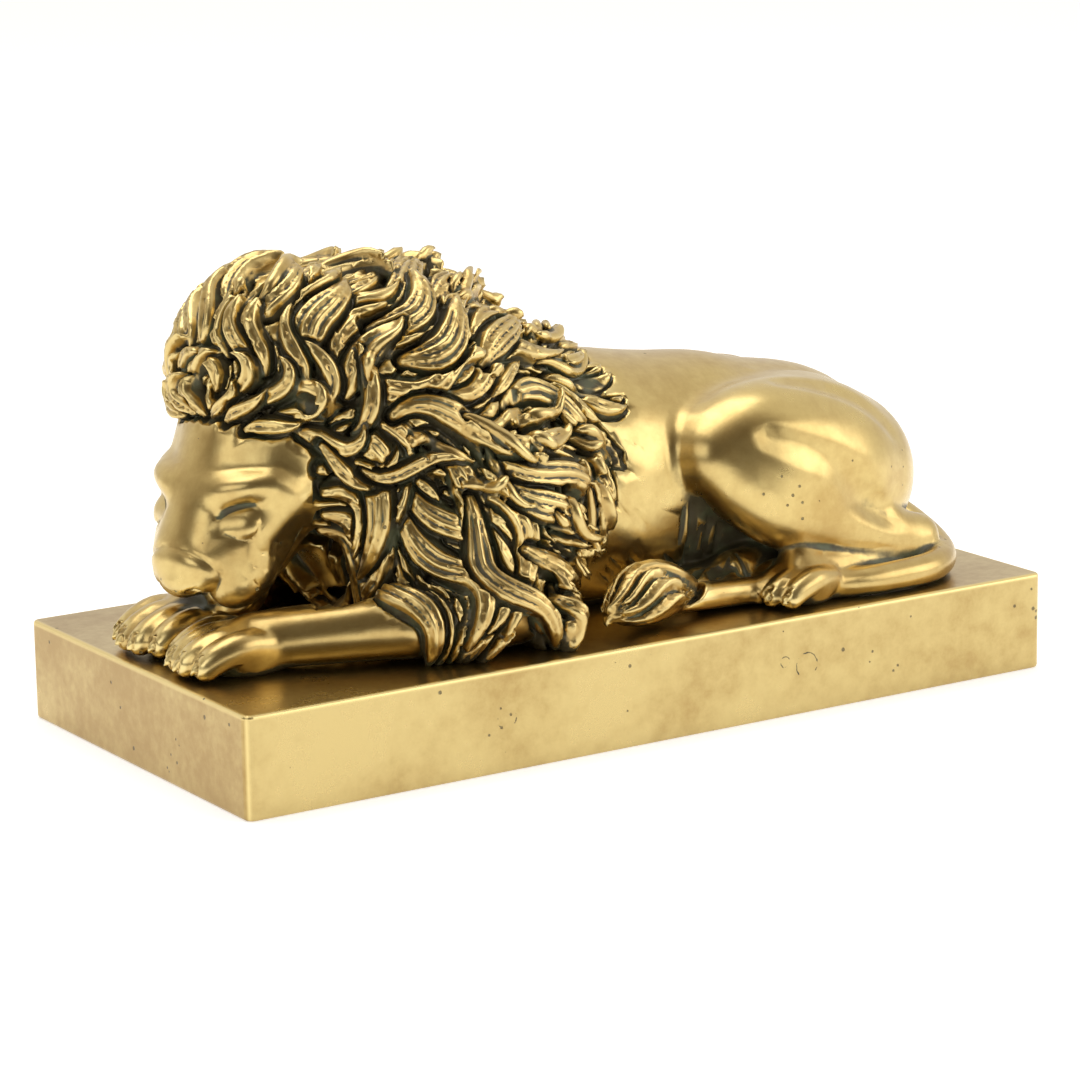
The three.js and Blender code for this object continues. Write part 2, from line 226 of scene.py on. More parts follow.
def plug_outlines(tree):
    """The faint round seams of the plugs in the plinth's long sides."""
    place = feed(tree, node(tree, "SeparateXYZ"), Vector=node(tree, "TexCoord").outputs["Object"])
    seams = 0.0
    spots = node(tree, "TexCoord").outputs["Object"]
    ragged = reckon(tree, "MULTIPLY", reckon(tree, "SUBTRACT", cloud(tree, spots, 600), 0.5), 0.0012)
    for plug_x, plug_z, radius in (
            (0.0388, 0.0158, 0.0016),
            (0.0462, 0.0137, 0.0036),
            (-0.052, 0.0148, 0.0030)):
        away = reckon(tree, "SQRT", reckon(tree, "ADD",
                      reckon(tree, "POWER", reckon(tree, "SUBTRACT", place.outputs["X"], plug_x), 2),
                      reckon(tree, "POWER", reckon(tree, "SUBTRACT", place.outputs["Z"], plug_z), 2)))
        off = reckon(tree, "ABSOLUTE", reckon(tree, "SUBTRACT", reckon(tree, "ADD", away, ragged), radius))
        seams = reckon(tree, "MAXIMUM", seams, graded(tree, off, 0.0003, 0.0001))
    broken = graded(tree, cloud(tree, spots, 300), 0.46, 0.56)
    return reckon(tree, "MULTIPLY", reckon(tree, "MULTIPLY", seams, broken), 0.7)


def plinth_tarnish_and_dark_reflection(tree):
    """The top and the short ends are browner than the long sides: a painted reflection, of the dim surround
    on the ends and of the lion on the top.
    """
    place = feed(tree, node(tree, "SeparateXYZ"), Vector=node(tree, "TexCoord").outputs["Object"])
    end = plinth_size.x / 2
    at_end = graded(tree, reckon(tree, "ABSOLUTE", place.outputs["X"]), end - 0.0014, end - 0.0002)
    on_top = graded(tree, place.outputs["Z"], plinth_top - 0.0008, plinth_top - 0.0001)
    return reckon(tree, "ADD", 0.2, reckon(tree, "MAXIMUM", at_end, reckon(tree, "MULTIPLY", on_top, 0.35)))


plinth.data.materials.append(gilt_bronze(
    "gilt_plinth", hollow=plug_outlines, rubbed_and_highlight=plinth_edge_wear_and_highlight, tarnish_and_painted_dark=plinth_tarnish_and_dark_reflection, pitting=0.95,
    gilding=(0.63, 0.49, 0.205, 1), worn_and_painted_dark=(0.40, 0.26, 0.085, 1), rubbed_and_highlight_gilding=(0.86, 0.69, 0.30, 1)))
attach(plinth, "root")
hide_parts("plinth")

# Lion: one casting in gilt bronze, modelled in clay over its main masses and chased after casting.
# The clay is a field of distances in millimetres, measured up from the plinth's top.
# Most lengths are in shares, hundredths of the lion's length from its middle, and the head's in millimetres.
margin_at_paws = 4
margin_at_rump = 16
lion_length = plinth_size.x * 1000 - margin_at_paws - margin_at_rump
share = lion_length / 100
lion_middle = plinth_low.x * 1000 + margin_at_paws + lion_length / 2

cell = 0.64
clay_low = np.array([-129.5, -61.5, -1.4])
clay_high = np.array([118.0, 56.0, 107.0])
clay_cells = np.ceil((clay_high - clay_low) / cell).astype(int)
far_from_clay = 9.0
clay = np.full(clay_cells, far_from_clay, np.float32)


def at(x, y, z):
    return np.array([lion_middle + x * share, y * share, z * share])


def unit(v):
    v = np.asarray(v, float)
    return v / np.maximum(np.linalg.norm(v, axis=-1, keepdims=True), 1e-9)


def dot(a, b):
    return (a * b).sum(-1)


def room(low, high):
    first = np.clip(np.floor((low - clay_low) / cell).astype(int), 0, clay_cells)
    last = np.clip(np.ceil((high - clay_low) / cell).astype(int) + 1, 0, clay_cells)
    cut = tuple(slice(a, b) for a, b in zip(first, last))
    lines = [clay_low[k] + cell * np.arange(first[k], last[k], dtype=np.float32) for k in range(3)]
    return cut, np.meshgrid(*[line.astype(np.float32) for line in lines], indexing="ij", sparse=True)


def press(cut, shape, softness):
    """Adds a shape to the clay, with the seam smoothed over."""
    old = clay[cut]
    near = np.maximum(softness - np.abs(old - shape), 0)
    clay[cut] = np.minimum(old, shape) - near * near * (0.25 / softness)


def scoop(cut, shape, softness):
    """Takes a shape out of the clay."""
    old = clay[cut]
    near = np.maximum(softness - np.abs(old + shape), 0)
    clay[cut] = np.maximum(old, -shape) + near * near * (0.25 / softness)


def frame_along(direction):
    direction = unit(direction)
    side = unit(np.cross([0, 0, 1], direction))
    return np.column_stack([direction, side, np.cross(direction, side)])


def egg(centre, radii, axes=np.eye(3), spread=0.0):
    """Distances to an ellipsoid, and the room that they are worked out in."""
    radii = np.asarray(radii, float)
    reach = np.abs(axes) @ radii + 3 + spread
    cut, (x, y, z) = room(centre - reach, centre + reach)
    x, y, z = x - centre[0], y - centre[1], z - centre[2]
    near = steep = 0
    for k in range(3):
        a, b, c = (axes[:, k] / radii[k]).astype(np.float32)
        a = x * a + y * b + z * c
        near = near + a * a
        steep = steep + a * a * np.float32(1 / radii[k] ** 2)
    near = np.sqrt(near)
    steep = np.sqrt(steep)
    return cut, near * (near - 1) / np.maximum(steep, 1e-6)


def mass(centre, radii, softness=6, axes=np.eye(3)):
    cut, shape = egg(centre, np.array(radii) * share, axes, softness)
    press(cut, shape, softness)


def smooth_path(stations, parts=12):
    s = np.asarray(stations, float)
    s = np.vstack([2 * s[0] - s[1], s, 2 * s[-1] - s[-2]])
    made = []
    for i in range(1, len(s) - 2):
        for t in np.arange(parts) / parts:
            made.append(0.5 * (2 * s[i] + (s[i + 1] - s[i - 1]) * t
                               + (2 * s[i - 1] - 5 * s[i] + 4 * s[i + 1] - s[i + 2]) * t * t
                               + (3 * s[i] - s[i - 1] - 3 * s[i + 1] + s[i + 2]) * t ** 3))
    made.append(s[-2])
    return np.array(made)


def rope(path, radii, spread=4.0):
    """Distances to a round rope along a path, in one room round it all."""
    reach = radii.max() + spread
    cut, (x, y, z) = room(path.min(0) - reach, path.max(0) + reach)
    shape = np.full(clay[cut].shape, 30.0, np.float32)
    start = np.array([c.start for c in cut])
    for a, b, r, q in zip(path, path[1:], radii, radii[1:]):
        wide = max(r, q) + spread
        inner, (px, py, pz) = room(np.minimum(a, b) - wide, np.maximum(a, b) + wide)
        local = tuple(slice(c.start - s, c.stop - s) for c, s in zip(inner, start))
        step = b - a
        length2 = max(step @ step, 1e-9)
        t = np.clip(((px - a[0]) * step[0] + (py - a[1]) * step[1] + (pz - a[2]) * step[2]) / length2, 0, 1)
        off = (px - a[0] - t * step[0], py - a[1] - t * step[1], pz - a[2] - t * step[2])
        gap = np.sqrt(off[0] ** 2 + off[1] ** 2 + off[2] ** 2)
        shape[local] = np.minimum(shape[local], gap - (r + (q - r) * t))
    return cut, shape


def limb(stations, softness=6):
    s = smooth_path([[*at(x, y, z), r * share] for x, y, z, r in stations])
    cut, shape = rope(s[:, :3], s[:, 3], softness + 2)
    press(cut, shape, softness)


# Trunk, lying on its belly with the hindquarters rolled a little to the left
mass(at(5, 0, 13.6), [21, 14.6, 15.6], 6)
mass(at(22, 0.6, 12.4), [17, 13.2, 14.4], 12)
mass(at(36.5, 1.2, 11), [13.5, 13.6, 12.6], 12)
mass(at(-14, 0, 12), [15, 16, 14], 12)

# Hind legs: the left is folded with its knee up, and the right foot lies across under the belly
limb([[18, -12.6, 17.4, 5.6], [24, -12.6, 16.8, 8.2], [32, -10.5, 14, 10.4], [38, -8, 11.6, 10.4]], 5)
limb([[19, 13.6, 14, 6], [28, 11.6, 14, 9.4], [37, 7, 11.6, 10]], 5)
limb([[20, 15, 8, 5], [30, 16.6, 6, 4.8], [38, 16, 4.4, 3.6], [44, 14.4, 3.4, 2.5]], 4)
limb([[17, -14.2, 17, 4.4], [22, -15.8, 12.8, 5], [31, -17, 8.4, 4.2],
      [38, -17.4, 5.6, 3.1], [44, -16.8, 4.4, 2.7]], 2.2)
limb([[44.8, -16.8, 4, 2.7], [40, -17.8, 3, 2.5], [34, -18.6, 3, 2.5], [26, -19, 3.4, 3]], 1.6)
limb([[33, -10, 3, 3], [20, -13.6, 2.6, 3]], 3)

# Forelegs: the elbows stand wide, the forearms run in under the chin and the paws lie side by side
mass(at(-11.5, -11.8, 12), [10, 7.4, 11.6], 8)
mass(at(-11.5, 11.8, 12), [10, 7.4, 11.6], 8)
limb([[-11, -17.2, 5.4, 5.2], [-20, -17.6, 4.8, 4.6], [-31, -14.2, 4, 3.6], [-41, -9.6, 3.3, 3.2]], 5)
limb([[-11, 17.2, 5.4, 5.2], [-20, 16.6, 4.8, 4.6], [-31, 11.6, 4, 3.6], [-41, 5.8, 3.3, 3.2]], 5)


# Hip bones, the muscles of the thighs and the tendons of the hocks
for s in (1, -1):
    mass(at(33.5, 0.8 + s * 8, 21.4), [4.6, 3, 2.4], 5)
    mass(at(26.5, s * 15.4 - 1, 13.5), [7, 4.4, 7.5], 6)
limb([[36, -17.2, 9.6, 2.2], [41, -17.2, 6.6, 1.8], [45, -16.8, 5.2, 1.7]], 3)


def paw(sole, heading, size):
    """A paw: four toes with their knuckles, claws and the pad that they spring from."""
    axes = frame_along(heading)
    big = share * size

    def place(forward, left, high):
        return sole + axes @ (np.array([forward, left, high]) * big)

    cut, shape = egg(place(-1.6, 0, 2.0), np.array([4.6, 4.5, 2.9]) * big, axes, 3)
    press(cut, shape, 3)
    for step in (-1.5, -0.5, 0.5, 1.5):
        reach = -0.5 * step * step
        across = step * 2.3
        toe = smooth_path([
            [*place(-2.6 + reach, across * 0.8, 2.9), 1.5 * big],
            [*place(0.6 + reach, across, 3.2), 1.6 * big],
            [*place(3.0 + reach, across, 2.5), 1.55 * big],
            [*place(4.5 + reach, across, 1.6), 1.35 * big],
        ])
        cut, shape = rope(toe[:, :3], toe[:, 3], 3)
        press(cut, shape, 0.9)
        claw = smooth_path([
            [*place(4.7 + reach, across, 2.2), 0.5 * big],
            [*place(5.5 + reach, across, 1.7), 0.42 * big],
            [*place(6.0 + reach, across, 1.1), 0.2 * big],
        ], 3)
        cut, shape = rope(claw[:, :3], claw[:, 3], 3)
        scoop(cut, shape - 0.5, 0.3)
        press(cut, shape, 0.3)


paw(at(24.2, -19.6, 0), (-1, -0.14, 0), 0.94)
paw(at(16, -13.6, 0), (-1, -0.32, 0), 0.84)
paw(at(-44.4, -8.2, 0), (-1, 0.12, 0), 1.12)
paw(at(-44.4, 4.2, 0), (-1, -0.06, 0), 1.12)

# Tail: from the rump round the left hock, forward along the foot and out from under its toes
limb([[46, 2, 8, 3], [49, -8, 4.6, 2.3], [48.6, -16, 2.3, 1.95], [43.6, -21.4, 1.9, 1.85],
      [36, -22.4, 1.8, 1.75], [29, -21, 1.7, 1.7], [20, -18, 1.7, 1.6], [9, -18.6, 2.4, 1.7]], 1.2)

# Head: its own frame points from the skull to the nose, bowed down and turned a little to the left.
# The lion sleeps, so the eyes are closed and the chin rests on the forearms.
head_bow = math.radians(47)
head_turn = math.radians(16)
skull_centre = at(-32.6, 1.2, 25.4)
face_direction = np.array([
    -math.cos(head_bow) * math.cos(head_turn),
    -math.cos(head_bow) * math.sin(head_turn),
    -math.sin(head_bow),
])
head_axes = frame_along(face_direction)


def in_head(forward, left, crown):
    """A place in the head, in millimetres: forward to the nose, to the lion's left, and to its crown."""
    return skull_centre + head_axes @ np.array([forward, left, crown], float)


def head_mass(forward, left, crown, radii, softness=4.0, scoops=False):
    cut, shape = egg(in_head(forward, left, crown), radii, head_axes, softness)
    (scoop if scoops else press)(cut, shape, softness)


def head_roll(stations, softness=3.0):
    """A roll of clay in the head, through stations of forward, left, crown and radius."""
    s = smooth_path([[*in_head(*station[:3]), station[3]] for station in stations])
    cut, shape = rope(s[:, :3], s[:, 3], softness + 2)
    press(cut, shape, softness)


def blurred(field, reach):
    """The mean of a field over a cube of 2 * reach + 1 cells, taken one way after the other."""
    for axis in range(3):
        padded = np.pad(field, [(reach + 1, reach) if k == axis else (0, 0) for k in range(3)], mode="edge")
        total = np.cumsum(padded, axis=axis, dtype=np.float64)
        end = [slice(None)] * 3
        start = [slice(None)] * 3
        end[axis] = slice(2 * reach + 1, None)
        start[axis] = slice(0, -2 * reach - 1)
        field = ((total[tuple(end)] - total[tuple(start)]) / (2 * reach + 1)).astype(np.float32)
    return field


def depth_at(points):
    """The clay's distances at points, read between its cells."""
    p = np.clip((points - clay_low) / cell, 0, clay_cells - 1.001)
    i = p.astype(int)
    f = (p - i).astype(np.float32)
    value = 0
    for dx in (0, 1):
        for dy in (0, 1):
            for dz in (0, 1):
                weight = (f[..., 0] if dx else 1 - f[..., 0]) * (f[..., 1] if dy else 1 - f[..., 1])
                weight = weight * (f[..., 2] if dz else 1 - f[..., 2])
                value = value + weight * hide[i[..., 0] + dx, i[..., 1] + dy, i[..., 2] + dz]
    return value


def outward_at(points):
    reach = 1.8
    slopes = [depth_at(points + reach * axis) - depth_at(points - reach * axis) for axis in np.eye(3)]
    return unit(np.stack(slopes, -1))


def to_skin(points, rounds=5):
    for _ in range(rounds):
        points = points - 0.9 * np.clip(depth_at(points), -3, 3)[..., None] * outward_at(points)
    return points


def chase(stations, radius, softness=0.6, raised=0.0):
    """A chased line in the skin of the clay."""
    path = to_skin(smooth_path(stations, 8))
    path = path + raised * outward_at(path)
    ends = np.sin(np.linspace(0.12, 1, len(path)) * np.pi * 0.96)
    cut, shape = rope(path, radius * (0.35 + 0.65 * ends), softness + 1.5)
    scoop(cut, shape, softness)


head_mass(0, 0, 0, [26, 23, 21], 5)
head_mass(17, 0, 5, [19, 17, 10], 6)
head_mass(27, 0, -17, [18, 12.5, 9], 4)
head_mass(43, 0, -18.8, [8.4, 10, 7], 3)
for s in (1, -1):
    head_mass(11, s * 15, -5, [17, 10.4, 15.5], 6)
    head_mass(9, s * 11, -16, [12, 9, 9], 5)
    head_roll([[14, s * 5.6, 8.2, 7.4], [32, s * 5.0, 4.4, 6.8], [47, s * 5.0, 1.0, 5.6]], 4)
    head_mass(29, s * 10.6, -9, [12, 8, 9], 4)
    head_mass(38, s * 8.6, -1.6, [11, 7, 6], 6)
    head_mass(39.6, s * 9.6, -8.0, [13.2, 9.4, 9.4], 1.8)
for s in (1, -1):
    head_roll([[28.6, s * 3.2, 9.6, 3.2], [29.2, s * 9.4, 10.8, 3.4],
               [26.4, s * 15.2, 9.4, 3.4], [22.6, s * 19, 6.4, 2.8]], 4)
    head_roll([[38.0, s * 11.6, -1.0, 3.4], [32, s * 15.8, -1.4, 4.2], [22, s * 19.8, -0.4, 5.0]], 6)
    head_mass(33.6, s * 12.2, 2.8, [5.2, 6.8, 4.2], 2.4)
head_roll([[12, 0, 10.0, 7.0], [30, 0, 5.8, 6.8], [46, 0, 2.2, 5.4]], 5)
head_roll([[50.0, -6.2, -0.4, 3.9], [51.6, 0, 0.2, 4.3], [50.0, 6.2, -0.4, 3.9]], 1.2)
for s in (1, -1):
    head_mass(54.8, s * 5.4, -1.4, [3.4, 2.6, 1.9], 0.6, scoops=True)

# Mane: a thick mass of hair over neck and shoulders
mane_masses = [
    (at(-19.5, 0.4, 24.4), [18, 16.8, 16.6], np.eye(3)),
    (at(-14, -11, 14), [14.5, 8.6, 13], np.eye(3)),
    (at(-14, 11, 14), [14.5, 8.6, 13], np.eye(3)),
    (at(-5, 0, 20.4), [13, 13.4, 13], np.eye(3)),
    (in_head(-13, 0, 5.5), [11, 12.6, 10.6], head_axes),
]
for centre, radii, axes in mane_masses:
    mass(centre, radii, 7, axes)

# The face is chased: lips, lids and furrows
hide = clay.copy()
for s in (1, -1):
    chase([in_head(52, s * 0.6, -13), in_head(49, s * 8, -16), in_head(41, s * 15, -17.4),
           in_head(32, s * 18, -16), in_head(25, s * 20, -11)], 1.5, 1.0)
    chase([in_head(39.4, s * 6.6, 2.6), in_head(38.2, s * 10.2, 2.4), in_head(36.6, s * 14.0, 1.8),
           in_head(33.6, s * 17.0, 1.4), in_head(29.4, s * 19.0, 2.2)], 0.7, 0.25)
    chase([in_head(35.4, s * 6.8, 5.6), in_head(32.2, s * 11.6, 7.6),
           in_head(28.6, s * 16.8, 6.0)], 0.75, 0.9)
    chase([in_head(46.2, 0, 7.4), in_head(46.6, s * 6.4, 5.4),
           in_head(47.4, s * 11, -1), in_head(52, s * 10, -4)], 0.7, 0.9)
    for row in range(3):
        for i in range(4):
            pore = to_skin(in_head(46 - 4.2 * i - row, s * 18, -4 - 3.2 * row)[None])[0]
            cut, shape = egg(pore, [0.62] * 3)
            scoop(cut, shape, 0.3)
chase([in_head(55, 0, -4), in_head(53.6, 0, -8), in_head(52, 0, -13)], 0.9, 0.6)


def offset_spots(spots, cut):
    return [spot + part.start for spot, part in zip(spots, cut)]


def lay_lock(line, outward, half_width, half_height, strands, moat=0.95, depth=2.5, relief=1.35):
    """One lock of hair on the clay: a tapered ridge of strands, with a chased moat on both sides."""
    reach = half_width.max() + moat + 1.5
    cut, (x, y, z) = room(line.min(0) - reach, line.max(0) + reach)
    here = clay[cut]
    spots = np.nonzero((here < reach + half_height.max()) & (here > -depth - 5))
    if len(spots[0]) == 0:
        return
    places = np.stack([x[spots[0], 0, 0], y[0, spots[1], 0], z[0, 0, spots[2]]], -1)
    starts = line[:-1].astype(np.float32)
    steps = np.diff(line, axis=0).astype(np.float32)
    gap = places[:, None, :] - starts[None]
    t = np.clip(dot(gap, steps[None]) / dot(steps, steps)[None], 0, 1)
    off = gap - t[..., None] * steps[None]
    nearest = (off * off).sum(-1).argmin(1)
    rows = np.arange(len(places))
    t, off = t[rows, nearest], off[rows, nearest]
    along = nearest + t
    stations = np.arange(len(line))
    top = unit(outward[nearest] * (1 - t)[:, None] + outward[nearest + 1] * t[:, None])
    ahead = unit(steps)[nearest]
    side = unit(np.cross(ahead, top))
    top = np.cross(side, ahead)
    u, w, beyond = dot(off, side), dot(off, top), dot(off, ahead)
    wide = np.interp(along, stations, half_width)
    high = np.interp(along, stations, half_height)
    level = np.hypot(u, beyond)
    trench = np.maximum(level - (wide + moat), -(w + depth))
    across = np.clip(u / wide, -1, 1)
    rounded = np.sqrt((level / wide) ** 2 + (np.maximum(w, 0) / high) ** 2)
    ridge = (rounded - 1) * np.minimum(wide, high)
    strand = 2 * np.mod(strands * (across + 1) / 2, 1) - 1
    ridge = ridge + np.where(w > -0.8, relief * (wide / half_width.max()) * strand ** 2, 0)
    touched = np.maximum(-trench, 0) > 0
    hair_and_shade[tuple(spot[touched] for spot in offset_spots(spots, cut))] = 1
    ridge = np.maximum(ridge, -(w + depth + 1.4))
    old = here[spots]
    here[spots] = np.minimum(np.maximum(old, -trench), ridge)


rng = np.random.default_rng(7)
face_middle = in_head(26, 0, -2)
lock_parts = 18
wave_length = 36.0
hair_and_shade = np.zeros(clay_cells, np.float32)


def comb(points, outward):
    """The way the hair is combed: away from the face, and falling on the flanks."""
    fall = np.clip(2.1 - points[..., 2] / (15 * share), 0, 2.0)
    flow = unit(points - face_middle)
    flow[..., 2] -= fall
    return unit(flow - dot(flow, outward)[..., None] * outward)


def wave_at(points):
    """Where the hair's wave stands: it runs on from lock to lock, and drifts over the mane."""
    away = np.sqrt(((points - face_middle) ** 2).sum(-1))
    broad_drift = 0.9 * np.sin(points @ np.array([0.031, 0.058, 0.044]))
    small_drift = 0.5 * np.sin(points @ np.array([-0.052, 0.021, 0.067]) + 2)
    return 2 * np.pi * away / wave_length + (broad_drift + small_drift)


def lock_lines(roots, length, sway, phase, curl, lift):
    """Lines of a row of locks over the skin, all walked together."""
    points = to_skin(roots)
    lines, tops = [], []
    for i in range(lock_parts + 1):
        t = i / lock_parts
        outward = outward_at(points)
        lines.append(points + outward * (-2.0 + (lift + 2.0) * t ** 0.8)[:, None])
        tops.append(outward)
        flow = comb(points, outward)
        sideways = np.cross(outward, flow)
        turn = sway * np.sin(phase + wave_at(points)) + curl * t * t
        heading = flow * np.cos(turn)[:, None] + sideways * np.sin(turn)[:, None]
        points = to_skin(points + heading * (length / lock_parts)[:, None], 2)
    return np.stack(lines, 1), np.stack(tops, 1)


def ring_roots(middle, bow, angles):
    bow = math.radians(bow)
    axes = frame_along((-math.cos(bow), -0.2 * math.cos(bow), -math.sin(bow)))
    rays = np.stack([0 * angles, np.sin(angles), np.cos(angles)], -1) @ axes.T
    reach = np.arange(2, 75, 0.6)
    along = at(*middle) + rays[:, None, :] * reach[None, :, None]
    inside = depth_at(along) < 0
    inside[:, 0] = True
    first_out = np.argmax(~inside, axis=1)
    return along[np.arange(len(angles)), first_out]


taper = np.linspace(0, 1, lock_parts + 1)
lock_width = np.interp(taper, [0, 0.28, 0.55, 0.82, 1], [0.4, 1, 0.95, 0.6, 0.12])
lock_height = np.interp(taper, [0, 0.3, 0.75, 1], [0.7, 1, 0.85, 0.35])


def lay_row(roots, length, width, lift, sway, curl, side, phase, height=3.1):
    """A row of locks from its roots, each a little unlike its neighbours."""
    count = len(roots)
    lines, tops = lock_lines(
        roots,
        length * rng.uniform(0.85, 1.15, count),
        side * sway * rng.uniform(0.85, 1.15, count),
        phase + rng.normal(0, 0.22, count),
        side * curl * rng.uniform(0.5, 1.3, count),
        lift * rng.uniform(0.7, 1.3, count),
    )
    for i in rng.permutation(count):
        size = rng.uniform(0.82, 1.12)
        strands = max(2, round(0.78 * width * size))
        lay_lock(lines[i], tops[i], lock_width * width * size, lock_height * height * size, strands)


def lay_ring(middle, bow, count, top_length, side_length, width, lift, sway, curl, round_to, shift):
    angles = (np.arange(count) + shift) / count * 2 * np.pi - np.pi
    angles = angles + rng.normal(0, 0.12 * 2 * np.pi / count, count)
    roots = ring_roots(middle, bow, angles)
    keep = (roots[:, 2] > 6) & (np.abs(angles) < math.radians(round_to))
    angles, roots = angles[keep], roots[keep]
    side = np.where(np.sin(angles) < 0, -1.0, 1.0)
    length = top_length + (side_length - top_length) * np.minimum(1, 2.4 * np.sin(angles / 2) ** 2)
    lay_row(roots, length, width, lift, sway, curl, side, shift)


def lay_fall(first, last, count, length, width, lift, sway, curl, phase):
    """A row of locks that falls from a line between two places, on one side of the head or neck."""
    t = (np.arange(count)[:, None] + 0.5) / count
    side = 1.0 if first[1] + last[1] > 2 * skull_centre[1] else -1.0
    lay_row(first + t * (last - first), np.full(count, float(length)), width, lift, sway, curl,
            np.full(count, side), phase)


# A bed of thin hair covers the mane first, so that no valley between the locks is bare
for k in range(6):
    forward = k / 5
    bed_middle = (-3 - 31 * forward, forward, 19.5 + 5 * math.sin(2.6 * forward))
    lay_ring(bed_middle, -12 + 58 * forward, 30, 14 + 5 * forward, 18 + 8 * forward, 2.3, 0.4,
             0.6, 0.3, 160 - 40 * forward, 0.5 * (k % 2))
for s in (1, -1):
    for k in range(4):
        lay_fall(at(-10 - 5.4 * k, s * 17.6, 24 - k), at(-12 - 5.4 * k, s * (18 - 1.5 * k), 6),
                 7, 25, 2.5, 0.4, 0.6, 0.3, 0)

# From the withers forward to the hairline. A ring: middle, bow in degrees, locks in the round, length on top
# and on the sides, half width, lift of the tips, sway, curl, how far round it goes, and its shift
lay_ring((-2.5, 0, 19), -14, 27, 13, 17, 2.9, 1.0, 0.5, 0.3, 160, 0)
lay_ring((-7.5, 0, 20.4), -5, 24, 21, 28, 3.6, 2.0, 0.6, 0.4, 160, 0.5)
lay_ring((-14, 0.2, 22), 5, 23, 29, 43, 4.3, 2.8, 0.7, 0.4, 160, 0)
for s in (1, -1):
    lay_fall(at(-19, s * 18, 20), at(-23, s * 17, 7), 5, 46, 4.3, 3.0, 0.7, 0.5, 0.3)
for s in (1, -1):
    lay_fall(at(-26, s * 17, 21), at(-28, s * 13.4, 6), 6, 44, 4.0, 3.0, 0.7, 0.6, 0.3)
lay_ring((-21, 0.6, 24.2), 18, 22, 30, 56, 4.5, 3.4, 0.7, 0.5, 140, 0.5)
for s in (1, -1):
    lay_fall(in_head(-8, s * 24, 4), in_head(10, s * 18, -22), 6, 50, 4.3, 3.4, 0.7, 0.6, 0.2)
lay_ring((-28, 0.9, 25.4), 34, 22, 26, 52, 4.2, 3.8, 0.7, 0.6, 118, 0)
for s in (1, -1):
    lay_fall(in_head(4, s * 24, 3), in_head(19, s * 17, -18), 5, 40, 3.8, 3.4, 0.7, 0.7, 0.5)

# Tufts stand up on the crown and nod backwards or sideways
for middle, bow, count, length, width, round_to in (
        ((-15, 0.3, 22.6), 8, 13, 28, 5.6, 58),
        ((-22.5, 0.6, 24.4), 24, 13, 27, 5.8, 64),
        ((-29.5, 0.9, 25.4), 38, 14, 25, 5.2, 74)):
    angles = (np.arange(count) + 0.5) / count * 2 * np.pi - np.pi
    angles = angles[np.abs(angles) < math.radians(round_to)]
    angles = angles + rng.normal(0, 0.06, len(angles))
    lay_row(ring_roots(middle, bow, angles), np.full(len(angles), float(length)), width, 3.6, 0.5, 1.1,
            np.where(rng.uniform(-1, 1, len(angles)) + 2 * np.sin(angles) < 0, -1.0, 1.0), 0.4, 3.7)
lay_ring((-32.6, 1, 25), 42, 24, 20, 26, 3.2, 4.2, 0.8, 1.2, 92, 0.5)
lay_ring((-34.8, 1, 23.6), 47, 23, 16, 27, 2.8, 3.4, 0.8, 1.1, 108, 0)
lay_ring((-36.4, 0.8, 21.9), 47, 25, 13, 20, 2.5, 3.2, 0.9, 1.2, 56, 0.5)

# Small ears stand half hidden in the hair
for s in (1, -1):
    head_mass(-1.5, s * 25, 12.4, [3.4, 5.8, 7.2], 1.2)
    head_mass(1.7, s * 25.8, 13.4, [3.2, 3.8, 5.0], 0.8, scoops=True)

# Thin strands that have come loose lie over the locks
hide = blurred(clay, 1)
for _ in range(9):
    back = rng.uniform(0, 1)
    middle = (-33 + 30 * back, 1 - back, 25 - 6 * back)
    angles = rng.uniform(-2.3, 2.3, 9)
    roots = ring_roots(middle, 44 - 56 * back, angles)
    side = np.where(angles < 0, -1.0, 1.0)
    lines, tops = lock_lines(
        roots, rng.uniform(16, 28, 9), side * 0.8, rng.uniform(0, 6, 9), side * 0.9, rng.uniform(1, 3, 9))
    for line, top in zip(lines, tops):
        lay_lock(line, top, lock_width * 1.7, lock_height * 1.7, 1, moat=0.7, depth=1.6, relief=0)

# Hair on the elbows
hide = blurred(clay, 1)
for s in (1, -1):
    lay_fall(at(-11, s * 18.6, 6.4), at(-4, s * 17.6, 4.4), 4, 25, 3.3, 1.6, 0.7, 0.9, 0.5)

# Shallow valleys between the muscles
chase([at(21, -20, 20), at(28, -21, 17), at(34, -20.4, 12), at(38, -18.8, 8.6)], 2.6, 6, 2.0)
chase([at(27, -14, 26), at(34, -15, 23), at(40, -15, 17)], 2.2, 5, 1.8)
chase([at(21, 20, 18), at(28, 21, 15), at(34, 19.4, 11)], 2.6, 6, 2.0)

# Hair chased into the skin: short where the mane ends on the flanks, long under the belly and in the groin
hide = clay.copy()


def chase_hair(low, high, side, count, step, radius, lean):
    """Strokes of hair in a patch of one flank, from random places between two corners."""
    for _ in range(count):
        start = at(*rng.uniform(low, high))
        start[1] = side * abs(start[1])
        stroke = [to_skin(start[None], 8)]
        flow = np.array([[1.0, 0, -0.9]]) + lean * rng.uniform(0.6, 1.4)
        for _ in range(3):
            outward = outward_at(stroke[-1])
            along = unit(flow - dot(flow, outward)[:, None] * outward)
            stroke.append(to_skin(stroke[-1] + step * along, 2))
        chase(np.vstack(stroke), radius, 0.4)


